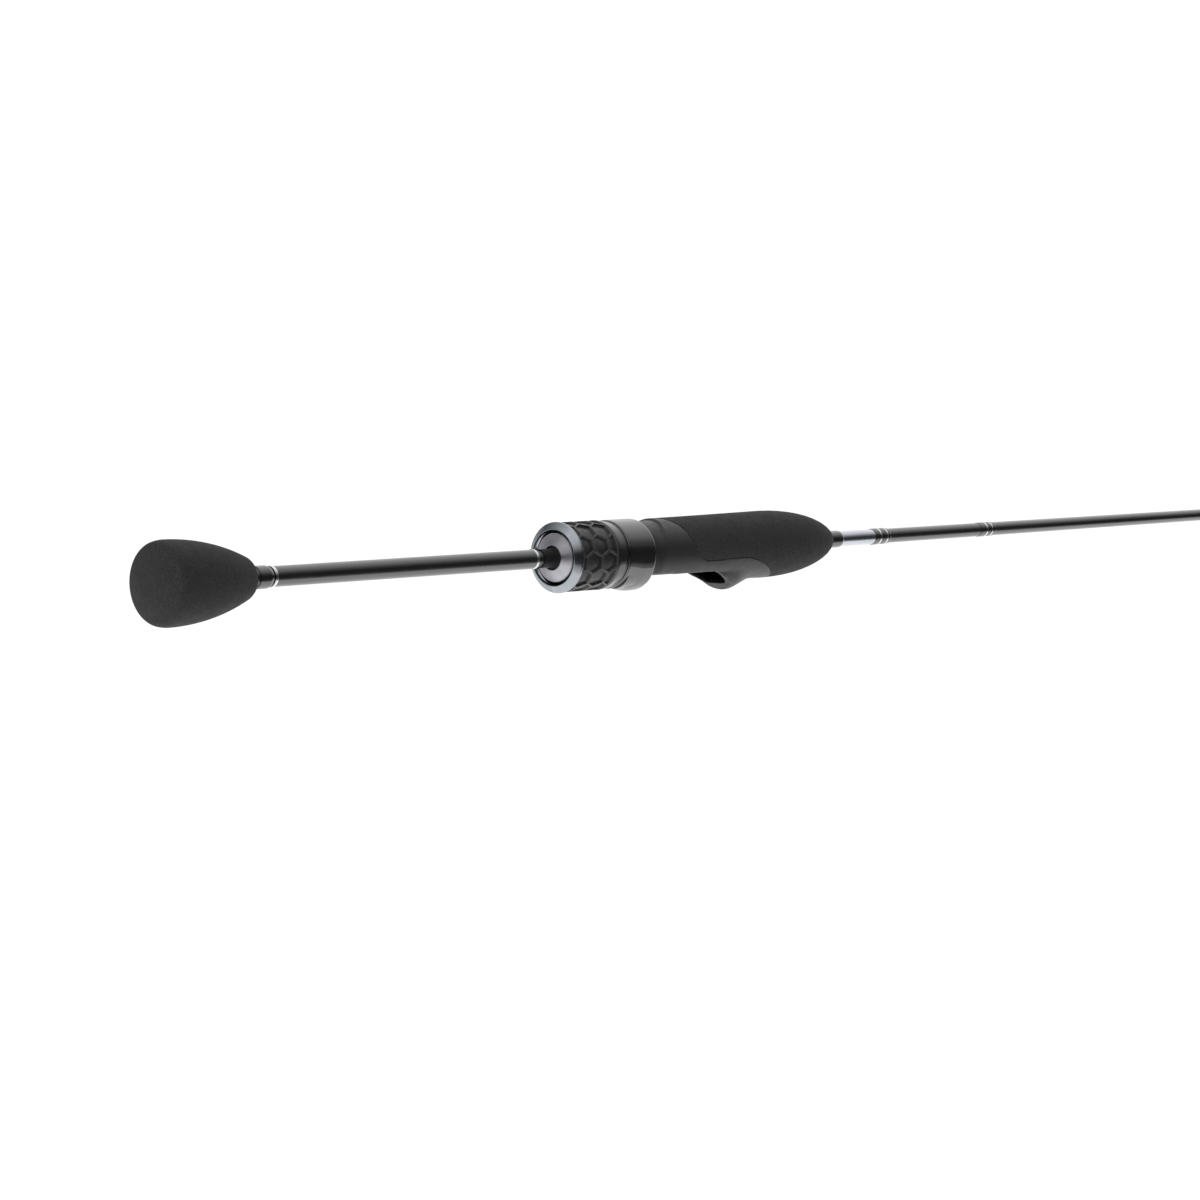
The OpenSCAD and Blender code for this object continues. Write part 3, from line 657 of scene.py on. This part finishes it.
def moving_hood():
    """Glossy hood, round at the back and above, fuller below where the reel's foot goes in."""
    back, front = (edge / MM for edge in span("moving_hood"))
    r, swell, sides, hole, back_t, wall = radius("moving_hood") / MM, 1.33, 216, 10.02, 1.8, 1.4
    swell_start, swell_length = 2, 9

    def section(x, inset):
        grown = min(max((x - back - swell_start) / swell_length, 0), 1)
        grown = swell * grown * grown * (3 - 2 * grown)
        found = []
        for k in range(sides):
            a = math.tau * k / sides
            q = r - inset + grown * max(-math.sin(a), 0) ** 2
            found.append((x, q * math.cos(a), q * math.sin(a)))
        return found

    outer = [(back, 2.0), (back, 1.0)] + bend((back, 0.75), (back, 0), (back + 0.75, 0), 6)
    outer += [(back + 1.1, 0)] + [(back + 1.1 + (front - back - 2.7) * k / 12, 0) for k in range(1, 13)]
    outer += bend((front - 1.4, 0), (front, 0), (front, 1.0), 8) + [(front, 1.05)]
    outer += bend((front, wall - 0.15), (front, wall), (front - 0.15, wall), 3)
    outer += [(front - 0.6, wall), (back + 5, wall), (back + back_t + 0.4, wall), (back + back_t, wall)]
    rings = [ring_at(back, hole, sides)] + [section(x, inset) for x, inset in outer]
    rings += [ring_at(back + back_t, hole, sides)]
    bm = bmesh.new()
    shell(bm, rings, loop=True)
    stand_in(mesh_object("moving_hood_shell", bm), "moving_hood")


def seat():
    """Moulded seat body and the foam fore grip."""
    body = stand_in(softened("seat_body", "seat_body_moulded", 0.3, 5), "seat_body")
    faired(body)
    grip = stand_in(softened("fore_grip", "fore_grip_foam", 0.34, 4), "fore_grip")
    pitted(grip, 0.05, 0.7)


# ---- Blank, bands and guides ----

def blank_r_at(x):
    """Radius of the bare blank at a station."""
    joint = 885
    stations = [(0, 3.2), (197.2, 3.2), (366.6, 3.0), (joint, 2.3)]
    if x >= joint:
        stations = [(joint, 2.75), (955, 2.75), (1830.5, 0.8)]
    for (x0, r0), (x1, r1) in zip(stations, stations[1:]):
        if x <= x1:
            return r0 + (r1 - r0) * (x - x0) / (x1 - x0)
    return stations[-1][1]


def wound(node, grooves=()):
    """A band of fine thread under its coat, with a bevel at each end and ridges over the turns."""
    lo, hi = (edge / MM for edge in span(node))
    r = radius(node) / MM
    pitch, rise, step = 0.28, 0.012, 0.07
    outline = [(lo, blank_r_at(lo)), (lo, r - 0.15)]
    count = int((hi - lo - 1.2) / step)
    for k in range(count):
        x = lo + 0.1 + k * step
        eased = min((x - lo) / 0.5, 1)
        dip = 0.13 if any(g - 0.02 < x < g + 0.92 for g in grooves) else 0
        outline.append((x, r - 0.15 * (1 - eased) - dip - rise + rise * math.cos(math.tau * x / pitch)))
    outline += bend((hi - 1.15, r), (hi - 0.5, r - 0.02), (hi, blank_r_at(hi) + 0.08), 8)
    outline += [(hi, blank_r_at(hi))]
    return turned(node, outline, 96)


def trims(node, starts, width=0.9):
    """Two narrow metal rings let into a band."""
    r = radius(node) / MM
    bm = bmesh.new()
    for x in starts:
        outline = rounded([(x, r - 0.17), (x, r, 0.12), (x + width, r, 0.12), (x + width, r - 0.17)])
        shell(bm, [ring_at(at, q, 96) for at, q in outline], loop=True)
    stand_in(mesh_object(node + "_rings", bm), node)


def bands():
    """Winding check, foil sleeve, the bands with their two rings, and the ferrule's band."""
    lo, hi = (edge / MM for edge in span("winding_check"))
    r = radius("winding_check") / MM
    turned("winding_check", rounded([(lo, blank_r_at(lo)), (lo, r, 0.12), (hi - 0.9, r, 0.5),
                                     (hi, 3.15, 0.3), (hi, blank_r_at(hi))]))
    lo, hi = (edge / MM for edge in span("foil_sleeve"))
    r = radius("foil_sleeve") / MM
    turned("foil_sleeve", rounded([(lo, blank_r_at(lo)), (lo, r, 0.05), (hi, r, 0.08),
                                   (hi, blank_r_at(hi))]))
    rings = {"check_wrap": (391.64, 396.04), "mark_wrap": (468.2, 472.0)}
    for node, starts in rings.items():
        wound(node, starts)
        trims(node + "_trim", starts)
    wound("ferrule_wrap")


def path_tube(bm, points, radii, sides=20):
    """A closed round bar along a smooth path of points, with a radius at each."""
    path = [Vector(p) for p in points]
    rings, side = [], Vector((0, 1, 0))
    for i, here in enumerate(path):
        way = (path[min(i + 1, len(path) - 1)] - path[max(i - 1, 0)]).normalized()
        side = (side - way * side.dot(way)).normalized()
        up = way.cross(side)
        turns = [math.tau * k / sides for k in range(sides)]
        rings.append([tuple(here + (side * math.cos(a) + up * math.sin(a)) * radii[i]) for a in turns])
    shell(bm, [[tuple(path[0])]] + rings + [[tuple(path[-1])]])


def hull_section(x, circle_r, foot_low, foot_half, cover, sides):
    """Outline of thread pulled tight over the blank and a foot under it."""
    spread = [math.tau * k / 48 for k in range(48)]
    corners = [(circle_r * math.cos(a), circle_r * math.sin(a)) for a in spread]
    for y in (-foot_half, foot_half):
        corners += [(y + cover * math.cos(a), foot_low + cover * math.sin(a)) for a in spread[::3]]
    loop = [corners[i] for i in geometry.convex_hull_2d([Vector(c) for c in corners])]
    found = []
    for k in range(sides):
        way = Vector((math.cos(math.tau * k / sides), math.sin(math.tau * k / sides)))
        best = 0
        for i, here in enumerate(loop):
            a, b = Vector(here), Vector(loop[(i + 1) % len(loop)])
            edge = b - a
            cross = way.x * edge.y - way.y * edge.x
            if abs(cross) > 1e-9:
                t = (a.x * edge.y - a.y * edge.x) / cross
                s = (a.x * way.y - a.y * way.x) / cross
                if t > 0 and -1e-6 <= s <= 1 + 1e-6:
                    best = max(best, t)
        found.append((x, way.x * best, way.y * best))
    return found


def foot_wrap(bm, x0, x1, foot_x0, foot_x1, thin, thick, half):
    """Thread and epoxy over one foot from x0 to x1; the foot is thin at foot_x0, its free end."""
    sides, steps = 64, 40
    rings = []
    for k in range(steps + 1):
        t = k / steps
        x = x0 + (x1 - x0) * t
        bare = blank_r_at(x)
        edge = min(t, 1 - t) * abs(x1 - x0)
        cover = 0.03 + 0.27 * math.sqrt(min(edge / 1.3, 1))
        along = min(max((x - foot_x0) / (foot_x1 - foot_x0), 0), 1)
        tall = thin + (thick - thin) * along
        # the thread climbs onto the foot's end over a millimetre
        on_foot = min(max(1 + (x - foot_x0) / 1.2 * math.copysign(1, foot_x1 - foot_x0), 0), 1)
        low = -bare - tall * on_foot + 0.06
        rings.append(hull_section(x, bare + cover, low, half * on_foot, cover, sides))
    inner = [ring_at(x, blank_r_at(x) + 0.004, sides) for x in (x1, x0)]
    shell(bm, rings + inner, loop=True)


def eyelet(bm, x, z, outline, sides=120):
    """A ring round a line parallel to the rod's axis, at height z; outline x counts from x."""
    shell(bm, [[(x + at, py, z + pz) for _, py, pz in ring_at(0, q, sides)] for at, q in outline],
          loop=True)


def guides():
    """Each guide: ceramic ring, bent frame with its feet, and the thread over the feet."""
    for i in range(1, GUIDES + 1):
        lo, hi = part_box(f"guide_{i}_ring")
        x, z, r = (lo.x + hi.x) / 2 / MM, (lo.z + hi.z) / 2 / MM, (hi.z - lo.z) / 2 / MM
        size = 2 * r
        ring_t, ring_w = 0.5 + r * 0.09, 1.1 + r * 0.08
        throat, crest, shoulder = r - ring_t, ring_w * 0.55, r - ring_t * 0.45
        outline = rounded([(-ring_w, r), (-ring_w, shoulder, 0.3), (-crest, throat, ring_w * 0.4),
                           (crest, throat, ring_w * 0.4), (ring_w, shoulder, 0.3), (ring_w, r)], 6)
        bm = bmesh.new()
        eyelet(bm, x, z, outline)
        stand_in(mesh_object(f"guide_{i}_ring_polished", bm), f"guide_{i}_ring")

        wire = 0.45 + size * 0.014
        half_w = (1.5 * wire + 0.6) / 2
        reach, foot, foot_t, foot_w = size * 0.42 + 2, 6 + size * 0.24, 0.8, 2.2
        top = -blank_r_at(x) - 0.03
        two_feet = size > 12
        taper = [wire * (0.86 - 0.2 * k / 22) for k in range(23)]
        bm = bmesh.new()
        outline = rounded([(-half_w, r + 0.005), (-half_w, r + wire, wire * 0.7),
                           (half_w, r + wire, wire * 0.7), (half_w, r + 0.005)], 5)
        eyelet(bm, x, z, outline)
        join, lean = r + wire * 0.6, math.radians(35)
        for side in (-1, 1):
            start = Vector((x, side * join * math.cos(lean), z + join * math.sin(lean)))
            knee = Vector((x + reach * 0.55, side * (foot_w / 2 + join * 0.16),
                           top - foot_t - size * 0.1))
            end = Vector((x + reach + 1.6, side * (foot_w / 2 - 0.42), top - 0.42))
            path_tube(bm, bend(start, knee, end, 22), taper)
        if two_feet:
            start = Vector((x, 0, z + join))
            knee = Vector((x - reach * 0.55, 0, top - foot_t - size * 0.05))
            end = Vector((x - reach - 1.6, 0, top - 0.42))
            path_tube(bm, bend(start, knee, end, 22), taper)
        for side in ((-1, 1) if two_feet else (1,)):
            # foot: full at the leg, ground thin and narrow at its free end
            root, tip = x + side * reach, x + side * (reach + foot)
            rings = []
            for k in range(25):
                t = k / 24
                tall, wide = foot_t * (1 - 0.7 * t * t), foot_w / 2 * (1 - 0.35 * t ** 3)
                ease = min(t, 1 - t) * foot
                shrink = min(0.55 + ease / 0.5 * 0.45, 1)
                corner, half = 0.22 * tall, wide * shrink
                box = [(half, -corner), (half, -tall + corner), (half - corner, -tall),
                       (corner - half, -tall), (-half, corner - tall), (-half, -corner),
                       (corner - half, 0), (half - corner, 0)]
                at = root + (tip - root) * t
                bed = -blank_r_at(at) - 0.03
                rings.append([(at, py, bed + pz) for py, pz in box])
            middle = [tuple(sum(p[a] for p in ring) / 8 for a in range(3))
                      for ring in (rings[0], rings[-1])]
            shell(bm, [[middle[0]]] + rings + [[middle[1]]])
        stand_in(mesh_object(f"guide_{i}_frame_bent", bm), f"guide_{i}_frame")

        bm = bmesh.new()
        for side in ((-1, 1) if two_feet else (1,)):
            free = x + side * (reach + foot)
            x0, x1 = free + side * 2.5, x + side * (reach + 2)
            foot_wrap(bm, x0, x1, free, x + side * reach, 0.3, foot_t, foot_w / 2 - 0.15)
        stand_in(mesh_object(f"guide_{i}_wrap_wound", bm), f"guide_{i}_wrap")


def tip_top():
    """Tube, ring and the wire legs of the tip-top."""
    lo, hi = (edge / MM for edge in span("tip_tube"))
    r = radius("tip_tube") / MM
    turned("tip_tube", rounded([(lo, blank_r_at(lo) + 0.01), (lo, r, 0.3), (hi - 0.2, r, 0.5),
                                (hi, r * 0.5, 0.2), (hi, 0.82)]), 64)
    lo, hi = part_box("tip_ring")
    x, z, r = (lo.x + hi.x) / 2 / MM, (lo.z + hi.z) / 2 / MM, (hi.z - lo.z) / 2 / MM
    bm = bmesh.new()
    outline = rounded([(-1, r), (-1, 2.35, 0.3), (-0.4, 2.05, 0.5), (0.4, 2.05, 0.5),
                       (1, 2.35, 0.3), (1, r)], 6)
    eyelet(bm, x, z, outline, 96)
    stand_in(mesh_object("tip_ring_polished", bm), "tip_ring")
    bm = bmesh.new()
    outline = rounded([(-0.7, r + 0.005), (-0.7, r + 0.5, 0.35), (0.7, r + 0.5, 0.35),
                       (0.7, r + 0.005)], 5)
    eyelet(bm, x, z, outline, 96)
    wire = 0.42
    for side in (-1, 1):
        path = bend((x, side * (r + 0.2), z), (x - 4.5, side * (r + 0.1), z + 0.6),
                    (x - 10.5, side * 1.5, -1.3), 16)
        path_tube(bm, path, [wire] * 17, 14)
    path = bend((x, 0, z + r + 0.2), (x - 1.2, 0, -1.7), (x - 3, 0, -1.4), 10)
    path_tube(bm, path, [wire] * 11, 14)
    stand_in(mesh_object("tip_frame_bent", bm), "tip_frame")


camera()
studio_world()
floor()
FINISHES = make_finishes()
for node, slot in SLOT_OF.items():
    NODES[node].data.materials[0] = FINISHES[slot]
butt_grip()
barrel()
lock_nut()
moving_hood()
seat()
bands()
guides()
tip_top()
scene.view_settings.view_transform = "Standard"
